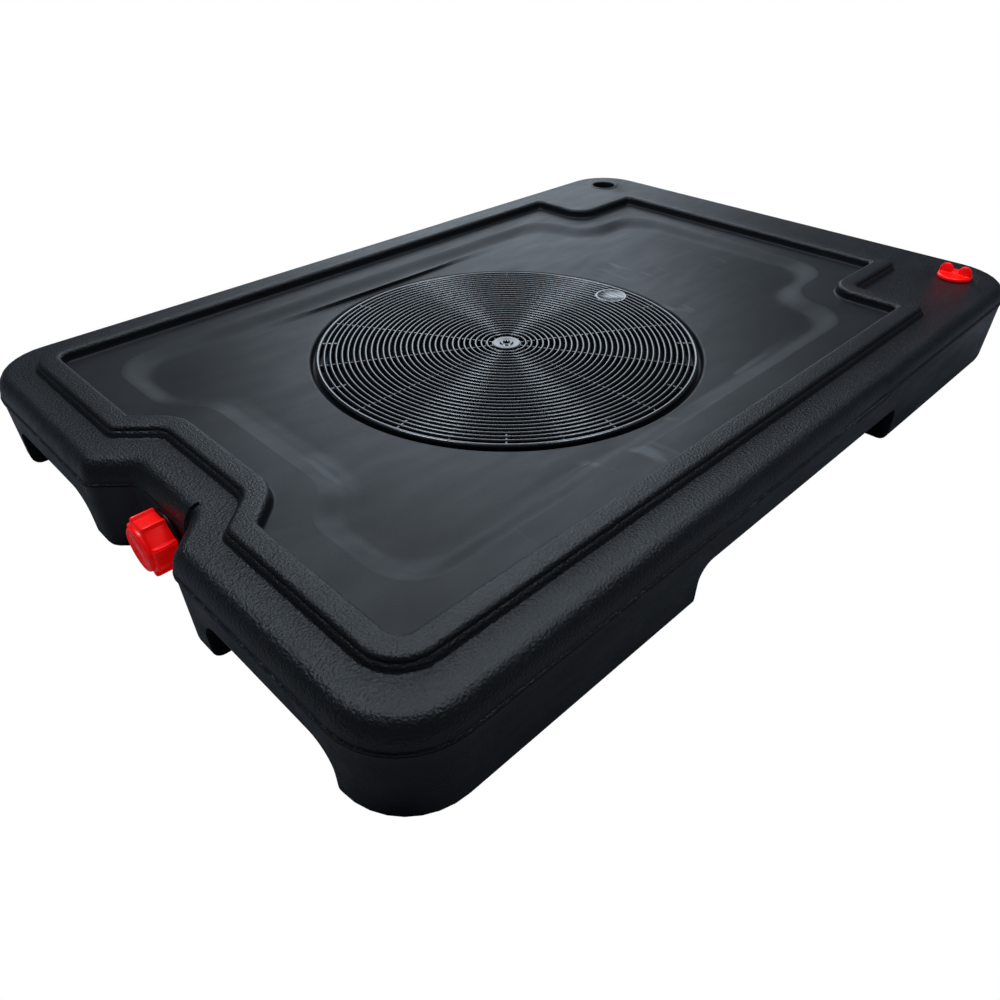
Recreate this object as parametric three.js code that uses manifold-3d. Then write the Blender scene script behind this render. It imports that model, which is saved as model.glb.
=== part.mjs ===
// A low oil drain pan: a hollow two-shell tank with a rimmed tray on top, a lift-out strainer,
// a capped drain spout in a notch of the front wall and a winged vent plug on the rear deck.
// Millimetres, +Z up, the spout faces -Y, the origin lies on the floor under the middle.

import * as THREE from 'three';
import { mergeVertices } from 'three/addons/utils/BufferGeometryUtils.js';
import Module from 'manifold-3d';

const wasm = await Module();
wasm.setup();

// Driving dimensions of the tank
const HALF_WIDTH = 342.5;
const HALF_LENGTH = 504.5;
const FRONT_CORNER_RADIUS = 63;
const REAR_CORNER_RADIUS = 71;
const WALL = 4;
const GAP = 0.3;

// Heights above the floor
const ARCH_Z = 45.5;
const SEAM_Z = 75;
const DECK_Z = 98.5;
const RIM_Z = 108.5;
const LEDGE_Z = 97;
const BASIN_Z = 90.5;
const WELL_EDGE_Z = 86;
const SEAT_Z = 78;
const CEILING_Z = 93;

// The raised rim on the deck
const RIM_HALF_WIDTH = 300;
const RIM_FRONT = -465;
const RIM_REAR = 415.5;
const RIM_WIDTH = 22;
const RIM_ROUND = 4;
const RIM_FLARE = 3.5;
const RIM_DRAFT = 1.5;
const RIM_CORNER_RADIUS = 34;
const REAR_NOTCH_X = 216.5;
const REAR_NOTCH_Y = 303.5;

// The front notch: the rim steps back, and the tank wall runs parallel to it
const NOTCH_MOUTH = 101;
const NOTCH_BACK = 68;
const NOTCH_DEPTH = 35;
const WALL_NOTCH_MOUTH = 80;
const WALL_NOTCH_BACK = 49.6;
const WALL_NOTCH_DEPTH = 32;

// The shoulder between the deck and the seam
const SHOULDER_INSET = 14;
const SHOULDER_STEPS = 4;

// Legs and sump under the tank
const LEG_WIDTH = 66;
const FRONT_LEG_END = -186;
const REAR_LEG_START = 181;
const SUMP_HALF_WIDTH = 108;
const SUMP_REAR = -380;
const FOOT_ROUND = 10;
const FOOT_DRAFT = 2;
const BELLY_ROUND = 3;

// Pockets where the lower shell rises to carry the tray
const POCKETS = [[-110, 290], [110, 290], [-175, -330], [175, -330]];
const POCKET_FOOT_RADIUS = 34;
const POCKET_TOP_RADIUS = 16;
const TRAY_UNDERSIDE_Z = 82;

// Strainer and its well
const WELL_Y = -68.5;
const WELL_RADIUS = 213;
const WELL_OPENING_RADIUS = 196;
const WELL_SKIRT_Z = 73;
const DISH_SLOPE = 0.03;
const GRILLE_RADIUS = 208.5;
const GRILLE_TOP_Z = 88.5;
const GRILLE_RING_WIDTH = 7;
const GRILLE_RING_PITCH = 38;
const GRILLE_RING_COUNT = 5;
const GRILLE_RIB_COUNT = 12;
const GRILLE_RIB_WIDTH = 2.4;
const GRILLE_RIB_DROP = 1.5;
const GRILLE_RIB_END = 5;
const HUB_RADIUS = 15;
const HUB_HOLE_RADIUS = 3.2;
const PAD_RADIUS = 20;
const PAD_DISTANCE = 182;

// Drain spout and cap, on an axis along Y
const SPOUT_Z = 48.5;
const SPOUT_WALL_Y = WALL_NOTCH_DEPTH - HALF_LENGTH;
const NECK_RADIUS = 19;
const NECK_BORE = 15;
const NECK_MOUTH_Y = -497;
const NECK_FLANGE_RADIUS = 24;
const NECK_FLANGE = 3;
const CAP_FACE_Y = -502;
const CAP_OPEN_Y = -477;
const CAP_RADIUS = 26;
const CAP_INNER_RADIUS = 20.4;
const CAP_FACE_WALL = 2.4;
const CAP_EDGE = 1.5;
const CAP_LOBES = 8;
const CAP_LOBE_RADIUS = 3;
const CAP_LOBE_DISTANCE = 25;

// Vent plug and the open breather hole on the rear deck
const VENT_X = 282;
const VENT_Y = 440;
const BUSH_RADIUS = 17;
const BUSH_BORE = 14;
const BUSH_FLANGE_RADIUS = 21;
const BUSH_FLANGE = 2.5;
const BUSH_DEPTH = 20;
const PLUG_FLANGE_RADIUS = 19.5;
const PLUG_FLANGE = 6;
const PLUG_STEM_RADIUS = 13;
const PLUG_STEM_BORE = 9;
const PLUG_STEM = 13;
const PLUG_RECESS_RADIUS = 17.5;
const PLUG_RECESS = 2.6;
const PLUG_EDGE = 2;
const WING_RADIUS = 8;
const WING_SPREAD = 11;
const WING_THICKNESS = 6;
const WING_LIFT = 1;
const WING_SINK = 1;
const BREATHER_RADIUS = 18;

// Facets on round pieces
const ROUND = 36;
const ROUND_SMALL = 24;
const ARC_STEPS = 4;
const LOBE_SIDES = 8;

// Outlines are lists of [x, y, corner radius], anticlockwise seen from above.
// Each is given as its right half, from the front middle round to the rear middle.
const BODY = mirrored([
  [WALL_NOTCH_BACK, SPOUT_WALL_Y, 14],
  [WALL_NOTCH_MOUTH, -HALF_LENGTH, 10],
  [HALF_WIDTH, -HALF_LENGTH, FRONT_CORNER_RADIUS],
  [HALF_WIDTH, HALF_LENGTH, REAR_CORNER_RADIUS],
]);

const RIM = mirrored([
  [NOTCH_BACK, RIM_FRONT + NOTCH_DEPTH, 24],
  [NOTCH_MOUTH, RIM_FRONT, 12],
  [RIM_HALF_WIDTH, RIM_FRONT, RIM_CORNER_RADIUS],
  [RIM_HALF_WIDTH, REAR_NOTCH_Y, 9],
  [REAR_NOTCH_X, REAR_NOTCH_Y, 8],
  [REAR_NOTCH_X, RIM_REAR, 9],
]);

const LEDGE_WIDTH = 33;
const STEP_WIDTH = 23;
const BASIN_ROUND = 45;
const BASIN = insetCorners(RIM, RIM_WIDTH + LEDGE_WIDTH).map(([x, y]) => [x, y, BASIN_ROUND]);

function mirrored(half) {
  const other = half.map(([x, y, radius]) => [-x, y, radius]);
  return [...half, ...other.reverse()];
}

function insetCorners(corners, inset) {
  return corners.map(([x, y, radius], i) => {
    const before = corners[(i + corners.length - 1) % corners.length];
    const after = corners[(i + 1) % corners.length];
    const a = new THREE.Vector2(x - before[0], y - before[1]).normalize();
    const b = new THREE.Vector2(after[0] - x, after[1] - y).normalize();
    const reach = inset / (1 + a.dot(b));
    const bend = Math.sign(a.cross(b));
    const moved = [x - (a.y + b.y) * reach, y + (a.x + b.x) * reach];
    return [...moved, Math.max(radius - bend * inset, 0.8)];
  });
}

// Points along an outline, with every corner as an arc of the same number of steps
function roundedOutline(corners) {
  return corners.flatMap(([x, y, radius], i) => {
    const before = corners[(i + corners.length - 1) % corners.length];
    const after = corners[(i + 1) % corners.length];
    const corner = new THREE.Vector2(x, y);
    const a = new THREE.Vector2(x - before[0], y - before[1]).normalize();
    const b = new THREE.Vector2(after[0] - x, after[1] - y).normalize();
    const turn = Math.atan2(a.cross(b), a.dot(b));
    const side = Math.sign(turn);
    const tangent = radius * Math.tan(Math.abs(turn) / 2);
    const centre = corner.clone().addScaledVector(a, -tangent)
      .add(new THREE.Vector2(-a.y, a.x).multiplyScalar(side * radius));
    const start = Math.atan2(a.y, a.x) - side * Math.PI / 2;
    return Array.from({ length: ARC_STEPS + 1 }, (_, k) => {
      const angle = start + turn * k / ARC_STEPS;
      return [centre.x + radius * Math.cos(angle), centre.y + radius * Math.sin(angle)];
    });
  });
}

// A closed solid through a stack of outlines; levels run upwards as [z, inset]
function stack(corners, levels) {
  const rings = levels.map(([, inset]) => roundedOutline(insetCorners(corners, inset)));
  const count = rings[0].length;
  const positions = rings.flatMap((ring, level) => {
    const [z] = levels[level];
    return ring.flatMap(([x, y]) => [x, y, z]);
  });
  const index = [];
  for (let level = 0; level + 1 < rings.length; level += 1) {
    for (let i = 0; i < count; i += 1) {
      const a = level * count + i;
      const b = level * count + (i + 1) % count;
      index.push(a, b, b + count, a, b + count, a + count);
    }
  }
  const flat = rings.map((ring) => ring.map(([x, y]) => new THREE.Vector2(x, y)));
  const cap = (points) => THREE.ShapeUtils.triangulateShape(points, []);
  const top = (rings.length - 1) * count;
  cap(flat[0]).forEach(([a, b, c]) => index.push(a, c, b));
  cap(flat[rings.length - 1]).forEach(([a, b, c]) => index.push(top + a, top + b, top + c));
  const geometry = new THREE.BufferGeometry();
  geometry.setAttribute('position', new THREE.Float32BufferAttribute(positions, 3));
  geometry.setIndex(index);
  return solid(geometry);
}

function solid(geometry) {
  const bare = geometry.clone();
  bare.deleteAttribute('normal');
  bare.deleteAttribute('uv');
  const merged = mergeVertices(bare, 1e-4);
  return new wasm.Manifold(new wasm.Mesh({
    numProp: 3,
    vertProperties: Float32Array.from(merged.attributes.position.array),
    triVerts: Uint32Array.from(merged.index.array),
  }));
}

function geometryOf(manifold) {
  const mesh = manifold.getMesh();
  const geometry = new THREE.BufferGeometry();
  geometry.setAttribute('position', new THREE.BufferAttribute(mesh.vertProperties, 3));
  geometry.setIndex(new THREE.BufferAttribute(mesh.triVerts, 1));
  return geometry;
}

function box(x0, x1, y0, y1, z0, z1) {
  const geometry = new THREE.BoxGeometry(x1 - x0, y1 - y0, z1 - z0);
  return solid(geometry.translate((x0 + x1) / 2, (y0 + y1) / 2, (z0 + z1) / 2));
}

// A turned solid; the profile is a closed list of [radius, height], stood on +Z
function turned(profile, segments) {
  const points = profile.map(([radius, height]) => new THREE.Vector2(radius, height));
  const area = THREE.ShapeUtils.area(points);
  const ordered = area > 0 ? points : points.reverse();
  ordered.push(ordered[0].clone());
  return new THREE.LatheGeometry(ordered, segments).rotateX(Math.PI / 2);
}

function disc(radius, z0, z1, x, y, segments = ROUND) {
  const geometry = new THREE.CylinderGeometry(radius, radius, z1 - z0, segments);
  return solid(geometry.rotateX(Math.PI / 2).translate(x, y, (z0 + z1) / 2));
}

function cone(bottomRadius, topRadius, z0, z1, x, y) {
  const geometry = new THREE.CylinderGeometry(topRadius, bottomRadius, z1 - z0, ROUND_SMALL);
  return solid(geometry.rotateX(Math.PI / 2).translate(x, y, (z0 + z1) / 2));
}

// The rounded shoulder from the seam up to the deck, moved inwards by a wall
function shoulderLevels(inward) {
  return Array.from({ length: SHOULDER_STEPS + 1 }, (_, k) => {
    const angle = (Math.PI / 2) * (k / SHOULDER_STEPS);
    const z = SEAM_Z + (DECK_Z - inward - SEAM_Z) * Math.sin(angle);
    return [z, inward + SHOULDER_INSET * (1 - Math.cos(angle))];
  });
}

function rimRidge() {
  const flare = Array.from({ length: 4 }, (_, k) => {
    const angle = (Math.PI / 2) * (k / 3);
    return [RIM_Z - RIM_ROUND * (1 - Math.sin(angle)), RIM_ROUND * (1 - Math.cos(angle))];
  });
  return stack(RIM, [[CEILING_Z - 2, -RIM_FLARE], [DECK_Z, -RIM_FLARE], ...flare]);
}

// What is scooped out of the top: the drop inside the rim, the soft step, the dish and the well
function trayRecess() {
  const halfTurn = RIM_ROUND * (1 - Math.SQRT1_2);
  const inside = stack(RIM, [
    [LEDGE_Z, RIM_WIDTH + RIM_DRAFT],
    [RIM_Z - RIM_ROUND, RIM_WIDTH],
    [RIM_Z - halfTurn, RIM_WIDTH - halfTurn],
    [RIM_Z, RIM_WIDTH - RIM_ROUND],
    [RIM_Z + 2, RIM_WIDTH - RIM_ROUND],
  ]);
  const step = stack(BASIN, [
    [BASIN_Z, STEP_WIDTH],
    [(LEDGE_Z + BASIN_Z) / 2, STEP_WIDTH / 2],
    [LEDGE_Z, 0],
    [LEDGE_Z + 1, -0.5],
  ]);
  const reach = (BASIN_Z - WELL_EDGE_Z) / DISH_SLOPE;
  const slope = cone(WELL_RADIUS, WELL_RADIUS + reach, WELL_EDGE_Z, BASIN_Z, 0, WELL_Y);
  const dish = slope.intersect(stack(BASIN, [[WELL_EDGE_Z - 1, STEP_WIDTH], [BASIN_Z, STEP_WIDTH]]));
  const seat = disc(WELL_RADIUS, SEAT_Z, LEDGE_Z, 0, WELL_Y);
  const opening = disc(WELL_OPENING_RADIUS, WELL_SKIRT_Z - 1, SEAT_Z + 1, 0, WELL_Y);
  return inside.add(step).add(dish).add(seat).add(opening);
}

// The hollow under the deck, less the thicker floor of the tray and the skirt round the well
function deckHollow() {
  const under = stack(BODY, [[SEAM_Z - 1, WALL], ...shoulderLevels(WALL)])
    .subtract(box(-HALF_WIDTH, HALF_WIDTH, -HALF_LENGTH, HALF_LENGTH, CEILING_Z, DECK_Z));
  const trayFloor = stack(BASIN, [[TRAY_UNDERSIDE_Z, -WALL], [CEILING_Z + 1, -WALL]]);
  const skirt = disc(WELL_RADIUS + WALL, WELL_SKIRT_Z, CEILING_Z + 1, 0, WELL_Y);
  const channel = stack(RIM, [[CEILING_Z - 1, WALL / 2], [RIM_Z - WALL, WALL]])
    .subtract(stack(RIM, [[CEILING_Z - 2, RIM_WIDTH - WALL / 2], [RIM_Z, RIM_WIDTH - WALL]]));
  return under.subtract(trayFloor).subtract(skirt).add(channel);
}

function upperShell() {
  const outer = stack(BODY, [[SEAM_Z + GAP / 2, 0], ...shoulderLevels(0).slice(1)]);
  const ventHole = disc(BUSH_RADIUS + GAP, SEAM_Z, RIM_Z, VENT_X, VENT_Y, ROUND_SMALL);
  const breather = disc(BREATHER_RADIUS, SEAM_Z, RIM_Z, -VENT_X, VENT_Y, ROUND_SMALL);
  return outer.add(rimRidge()).subtract(deckHollow()).subtract(trayRecess())
    .subtract(ventHole).subtract(breather);
}

// The places where the lower shell reaches the floor, shrunk inwards by a wall for its hollow
function footBlocks(inward) {
  const outerX = HALF_WIDTH + WALL;
  const outerY = HALF_LENGTH + WALL;
  const innerX = HALF_WIDTH - LEG_WIDTH + inward;
  const blocks = [-1, 1].flatMap((side) => {
    const [x0, x1] = side > 0 ? [innerX, outerX] : [-outerX, -innerX];
    return [
      box(x0, x1, -outerY, FRONT_LEG_END - inward, -1, ARCH_Z + 2 * WALL),
      box(x0, x1, REAR_LEG_START + inward, outerY, -1, ARCH_Z + 2 * WALL),
    ];
  });
  const sump = SUMP_HALF_WIDTH - inward;
  blocks.push(box(-sump, sump, -outerY, SUMP_REAR - inward, -1, ARCH_Z + 2 * WALL));
  return blocks.reduce((all, block) => all.add(block));
}

function footStack(inward) {
  const round = Array.from({ length: 3 }, (_, k) => {
    const angle = (Math.PI / 2) * (k / 2);
    const z = inward + FOOT_ROUND * (1 - Math.cos(angle));
    return [z, inward + FOOT_DRAFT + FOOT_ROUND * (1 - Math.sin(angle))];
  });
  return stack(BODY, [...round, [ARCH_Z + 2 * WALL - 1, inward + FOOT_DRAFT / 2]]);
}

function pocketCones(grow) {
  const bottom = ARCH_Z - 2;
  const top = TRAY_UNDERSIDE_Z - GAP - WALL + grow;
  const foot = POCKET_FOOT_RADIUS + grow;
  const tip = POCKET_TOP_RADIUS + grow;
  return POCKETS.map(([x, y]) => cone(foot, tip, bottom, top, x, y))
    .reduce((all, pocket) => all.add(pocket));
}

function lowerShell() {
  const bellyOuter = stack(BODY, [
    [ARCH_Z, BELLY_ROUND],
    [ARCH_Z + BELLY_ROUND, FOOT_DRAFT / 2],
    [SEAM_Z - GAP / 2, 0],
  ]);
  const bellyInner = stack(BODY, [
    [ARCH_Z + WALL, WALL + BELLY_ROUND],
    [ARCH_Z + WALL + BELLY_ROUND, WALL],
    [SEAM_Z + 1, WALL],
  ]);
  const feet = footStack(0).intersect(footBlocks(0));
  const footHollows = footStack(WALL).intersect(footBlocks(WALL));
  const tankSpace = box(-HALF_WIDTH, HALF_WIDTH, -HALF_LENGTH, HALF_LENGTH, ARCH_Z, DECK_Z);
  const posts = pocketCones(WALL).intersect(tankSpace);
  const outer = bellyOuter.add(feet).add(posts).subtract(pocketCones(0));
  const hollow = bellyInner.add(footHollows).subtract(pocketCones(WALL));
  const holeRadius = NECK_RADIUS + GAP;
  const spoutHole = new THREE.CylinderGeometry(holeRadius, holeRadius, 4 * WALL, ROUND_SMALL)
    .translate(0, SPOUT_WALL_Y, SPOUT_Z);
  return outer.subtract(hollow).subtract(solid(spoutHole));
}

function strainerGrille() {
  const bottom = SEAT_Z + GAP;
  const ring = (outer, inner) => solid(turned([
    [inner, bottom],
    [outer, bottom],
    [outer, GRILLE_TOP_Z],
    [inner, GRILLE_TOP_Z],
  ], ROUND));
  const rings = Array.from({ length: GRILLE_RING_COUNT }, (_, k) => {
    const outer = GRILLE_RADIUS - k * GRILLE_RING_PITCH;
    return ring(outer, outer - (k === 0 ? 2 : 1) * GRILLE_RING_WIDTH);
  });
  const ribTop = GRILLE_TOP_Z - GRILLE_RIB_DROP;
  const ribLength = GRILLE_RADIUS - 2 * GRILLE_RIB_END;
  const ribs = Array.from({ length: GRILLE_RIB_COUNT }, (_, k) => {
    const rib = new THREE.BoxGeometry(ribLength, GRILLE_RIB_WIDTH, ribTop - bottom)
      .translate(GRILLE_RADIUS / 2, 0, (ribTop + bottom) / 2)
      .rotateZ((2 * Math.PI * k) / GRILLE_RIB_COUNT);
    return solid(rib);
  });
  const hub = ring(HUB_RADIUS, HUB_HOLE_RADIUS);
  const pad = disc(PAD_RADIUS, bottom, GRILLE_TOP_Z, 0, PAD_DISTANCE, ROUND_SMALL);
  const hole = disc(HUB_HOLE_RADIUS, bottom - 1, GRILLE_TOP_Z + 1, 0, 0, ROUND_SMALL);
  return [...rings, ...ribs, pad, hub].reduce((all, piece) => all.add(piece)).subtract(hole)
    .translate([0, WELL_Y, 0]);
}

// Spout pieces are turned about +Z with z standing for -Y, then laid down
function alongSpout(profile, segments = ROUND_SMALL) {
  return turned(profile, segments).rotateX(Math.PI / 2).translate(0, 0, SPOUT_Z);
}

function spoutNeck() {
  const mouth = -NECK_MOUTH_Y;
  const wall = -SPOUT_WALL_Y;
  const inside = wall - 3 * WALL;
  return alongSpout([
    [NECK_BORE, inside],
    [NECK_RADIUS, inside],
    [NECK_RADIUS, wall + GAP],
    [NECK_FLANGE_RADIUS, wall + GAP],
    [NECK_FLANGE_RADIUS, wall + GAP + NECK_FLANGE],
    [NECK_RADIUS, wall + GAP + NECK_FLANGE],
    [NECK_RADIUS, mouth],
    [NECK_BORE, mouth],
  ]);
}

function spoutCapSeal() {
  const mouth = -NECK_MOUTH_Y + GAP;
  const back = -CAP_FACE_Y - CAP_FACE_WALL - GAP;
  return alongSpout([
    [NECK_BORE, mouth],
    [CAP_INNER_RADIUS - GAP, mouth],
    [CAP_INNER_RADIUS - GAP, back],
    [NECK_BORE, back],
  ]);
}

function spoutCap() {
  const open = -CAP_OPEN_Y;
  const face = -CAP_FACE_Y;
  const cup = solid(alongSpout([
    [0, face],
    [0, face - CAP_FACE_WALL],
    [CAP_INNER_RADIUS, face - CAP_FACE_WALL],
    [CAP_INNER_RADIUS, open],
    [CAP_RADIUS, open],
    [CAP_RADIUS, face - CAP_EDGE],
    [CAP_RADIUS - CAP_EDGE, face],
  ]));
  const lobes = Array.from({ length: CAP_LOBES }, (_, k) => {
    const angle = (2 * Math.PI * (k + 0.5)) / CAP_LOBES;
    const x = CAP_LOBE_DISTANCE * Math.cos(angle);
    const z = SPOUT_Z + CAP_LOBE_DISTANCE * Math.sin(angle);
    const length = face - open - 2 * CAP_EDGE;
    const lobe = new THREE.CylinderGeometry(CAP_LOBE_RADIUS, CAP_LOBE_RADIUS, length, LOBE_SIDES);
    return solid(lobe.translate(x, -(face + open) / 2, z));
  });
  return lobes.reduce((all, lobe) => all.add(lobe), cup);
}

function ventBush() {
  const flangeTop = CEILING_Z - GAP;
  return turned([
    [BUSH_BORE, DECK_Z - BUSH_DEPTH],
    [BUSH_RADIUS, DECK_Z - BUSH_DEPTH],
    [BUSH_RADIUS, flangeTop - BUSH_FLANGE],
    [BUSH_FLANGE_RADIUS, flangeTop - BUSH_FLANGE],
    [BUSH_FLANGE_RADIUS, flangeTop],
    [BUSH_RADIUS, flangeTop],
    [BUSH_RADIUS, DECK_Z],
    [BUSH_BORE, DECK_Z],
  ], ROUND_SMALL).translate(VENT_X, VENT_Y, 0);
}

function ventSeal() {
  return turned([
    [PLUG_STEM_RADIUS + GAP, DECK_Z + GAP],
    [PLUG_RECESS_RADIUS - GAP, DECK_Z + GAP],
    [PLUG_RECESS_RADIUS - GAP, DECK_Z + PLUG_RECESS - GAP],
    [PLUG_STEM_RADIUS + GAP, DECK_Z + PLUG_RECESS - GAP],
  ], ROUND_SMALL).translate(VENT_X, VENT_Y, 0);
}

function ventPlug() {
  const bottom = DECK_Z + 2 * GAP;
  const top = DECK_Z + PLUG_FLANGE;
  const body = solid(turned([
    [0, top],
    [0, DECK_Z + PLUG_RECESS],
    [PLUG_STEM_BORE, DECK_Z + PLUG_RECESS],
    [PLUG_STEM_BORE, DECK_Z - PLUG_STEM],
    [PLUG_STEM_RADIUS, DECK_Z - PLUG_STEM],
    [PLUG_STEM_RADIUS, DECK_Z + PLUG_RECESS],
    [PLUG_RECESS_RADIUS, DECK_Z + PLUG_RECESS],
    [PLUG_RECESS_RADIUS, bottom],
    [PLUG_FLANGE_RADIUS, bottom],
    [PLUG_FLANGE_RADIUS, top - PLUG_EDGE],
    [PLUG_FLANGE_RADIUS - PLUG_EDGE, top],
  ], ROUND_SMALL));
  const wings = [-1, 1].map((side) => {
    const wing = new THREE.CylinderGeometry(WING_RADIUS, WING_RADIUS, WING_THICKNESS, ROUND_SMALL);
    return solid(wing.translate(side * WING_SPREAD, 0, top + WING_LIFT));
  });
  const depth = WING_THICKNESS / 2;
  const floor = top - WING_SINK;
  const web = box(-WING_SPREAD, WING_SPREAD, -depth, depth, floor, top + WING_LIFT);
  const below = box(-2 * WING_SPREAD, 2 * WING_SPREAD, -2 * depth, 2 * depth, floor - 2 * WING_RADIUS, floor);
  return body.add(web.add(wings[0]).add(wings[1]).subtract(below));
}

const blackPlastic = { color: 0x26282c, roughness: 0.5, metalness: 0 };
const greyPlastic = { color: 0x1b1d20, roughness: 0.4, metalness: 0 };
const redPlastic = { color: 0xd8160f, roughness: 0.35, metalness: 0 };
const blackRubber = { color: 0x141414, roughness: 0.85, metalness: 0 };

const pan = new THREE.Group();

function addPiece(name, shape, finish) {
  const geometry = shape.isBufferGeometry ? shape : geometryOf(shape);
  const mesh = new THREE.Mesh(geometry, new THREE.MeshStandardMaterial(finish));
  mesh.name = name;
  pan.add(mesh);
  return mesh;
}

addPiece('upper_shell', upperShell(), blackPlastic);
addPiece('lower_shell', lowerShell(), blackPlastic);
addPiece('strainer_grille', strainerGrille(), greyPlastic);
addPiece('spout_neck', spoutNeck(), blackPlastic);
addPiece('spout_cap_seal', spoutCapSeal(), blackRubber);
addPiece('spout_cap', spoutCap(), redPlastic);
addPiece('vent_bush', ventBush(), blackPlastic);
addPiece('vent_seal', ventSeal(), blackRubber);
addPiece('vent_plug', ventPlug(), redPlastic).position.set(VENT_X, VENT_Y, 0);

export default pan;
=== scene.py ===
# %% [markdown]
# # An oil drain pan
# The pan is a low hollow tank of black blow-moulded plastic, about a metre long. A rimmed tray on
# top drains through a round strainer into the tank. A ribbed red cap closes the drain spout in a
# notch of the front wall, and a red winged plug closes the vent at a rear corner. We load the
# measured frame first, so that every piece we model lands where the real one has to be.

import math

import bmesh
import bpy
from mathutils import Matrix, Vector


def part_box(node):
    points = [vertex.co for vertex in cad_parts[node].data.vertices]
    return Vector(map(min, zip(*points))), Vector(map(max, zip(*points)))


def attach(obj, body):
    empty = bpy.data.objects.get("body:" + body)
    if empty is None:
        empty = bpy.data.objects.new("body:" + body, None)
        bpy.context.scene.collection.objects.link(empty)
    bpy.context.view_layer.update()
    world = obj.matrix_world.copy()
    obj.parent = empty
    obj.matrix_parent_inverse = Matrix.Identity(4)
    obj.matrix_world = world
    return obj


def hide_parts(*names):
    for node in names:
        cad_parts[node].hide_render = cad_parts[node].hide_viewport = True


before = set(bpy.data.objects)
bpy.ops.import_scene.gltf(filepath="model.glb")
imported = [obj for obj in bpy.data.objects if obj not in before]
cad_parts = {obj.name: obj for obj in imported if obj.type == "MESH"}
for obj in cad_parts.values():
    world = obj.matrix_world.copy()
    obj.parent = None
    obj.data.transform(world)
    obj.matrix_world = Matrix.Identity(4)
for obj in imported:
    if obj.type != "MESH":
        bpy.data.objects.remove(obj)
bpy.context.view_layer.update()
bpy.ops.object.select_all(action="DESELECT")
MM = 0.001

# %% [markdown]
# The camera comes first. It stands over the right front corner and looks down at the tray
# through a fairly wide lens, which is why the near corner looks so much larger than the far one.

# %% Camera
CAMERA_PLACE = Vector((0.57521, -0.64307, 0.48305))
CAMERA_AZIMUTH = math.radians(45.616)
CAMERA_ELEVATION = math.radians(37.012)
CAMERA_ROLL = math.radians(-0.3575)
CAMERA_LENS = 28.912


def aim_camera():
    flat = math.cos(CAMERA_ELEVATION)
    sine, cosine = math.sin(CAMERA_AZIMUTH), math.cos(CAMERA_AZIMUTH)
    back = Vector((sine * flat, -cosine * flat, math.sin(CAMERA_ELEVATION)))
    right = Vector((cosine, sine, 0))
    up = back.cross(right)
    x_axis = right * math.cos(CAMERA_ROLL) + up * math.sin(CAMERA_ROLL)
    y_axis = up * math.cos(CAMERA_ROLL) - right * math.sin(CAMERA_ROLL)
    turned = Matrix((x_axis, y_axis, back)).transposed().to_4x4()
    bpy.ops.object.camera_add(location=CAMERA_PLACE)
    camera = bpy.context.object
    camera.matrix_world = Matrix.Translation(CAMERA_PLACE) @ turned
    camera.data.lens = CAMERA_LENS
    bpy.context.scene.camera = camera


aim_camera()
print("camera at", [round(value, 3) for value in bpy.context.scene.camera.location])

# %% [markdown]
# ## Outlines
# The tank and its rim are drawn as outlines seen from above. An outline is a short list of
# corners, each with its own radius, and only the right half is written down. Two small helpers
# do the drafting: one moves every side of an outline inwards, and one rounds its corners.

# %% Sizes taken from the frame
low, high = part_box("upper_shell")
HALF_WIDTH = high.x
HALF_LENGTH = high.y
RIM_Z = high.z
SEAM_Z = low.z
DECK_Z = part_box("vent_bush")[1].z
print("half width", round(HALF_WIDTH, 4), "half length", round(HALF_LENGTH, 4), "deck", round(DECK_Z, 4))

# %% Outline helpers
CORNER_STEPS = 8
TIGHTEST = 0.8 * MM


def mirrored(half):
    other = [(-x, y, radius) for x, y, radius in half]
    return half + other[::-1]


def offset(corners, inset, smallest=TIGHTEST):
    """The outline with every side moved inwards; outer corners tighten and inner ones open up."""
    moved = []
    for i, (x, y, radius) in enumerate(corners):
        before = Vector(corners[i - 1][:2])
        after = Vector(corners[(i + 1) % len(corners)][:2])
        here = Vector((x, y))
        a = (here - before).normalized()
        b = (after - here).normalized()
        reach = inset / (1 + a.dot(b))
        bend = a.cross(b)
        turn = 0 if abs(bend) < 1e-6 else math.copysign(1, bend)
        new_radius = max(radius - turn * inset, smallest) if turn else 0
        moved.append((x - (a.y + b.y) * reach, y + (a.x + b.x) * reach, new_radius))
    return moved


def rounded(corners, steps=CORNER_STEPS):
    """Points along the outline, with each corner as an arc; a corner of no radius is one point."""
    points = []
    for i, (x, y, radius) in enumerate(corners):
        here = Vector((x, y))
        if radius == 0:
            points.append(here)
            continue
        a = (here - Vector(corners[i - 1][:2])).normalized()
        b = (Vector(corners[(i + 1) % len(corners)][:2]) - here).normalized()
        turn = math.atan2(a.cross(b), a.dot(b))
        side = math.copysign(1, turn)
        tangent = radius * math.tan(abs(turn) / 2)
        centre = here - a * tangent + Vector((-a.y, a.x)) * side * radius
        start = math.atan2(a.y, a.x) - side * math.pi / 2
        for k in range(steps + 1):
            angle = start + turn * k / steps
            points.append(centre + Vector((math.cos(angle), math.sin(angle))) * radius)
    return points


def smooth(t):
    """Runs from 0 to 1 with a soft start and a soft end."""
    t = min(max(t, 0), 1)
    return t * t * (3 - 2 * t)


# %% [markdown]
# The tank's outline has a notch in the front for the spout. On both long sides the seam steps up
# a little near the rear, so the outline gets a few extra points there to bend at.

# %% Outline of the tank
NOTCH_BACK_Y = -HALF_LENGTH + 32 * MM
JOG_Y = 135 * MM
JOG_HALF = 10 * MM
JOG_RISE = 6.5 * MM

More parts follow.
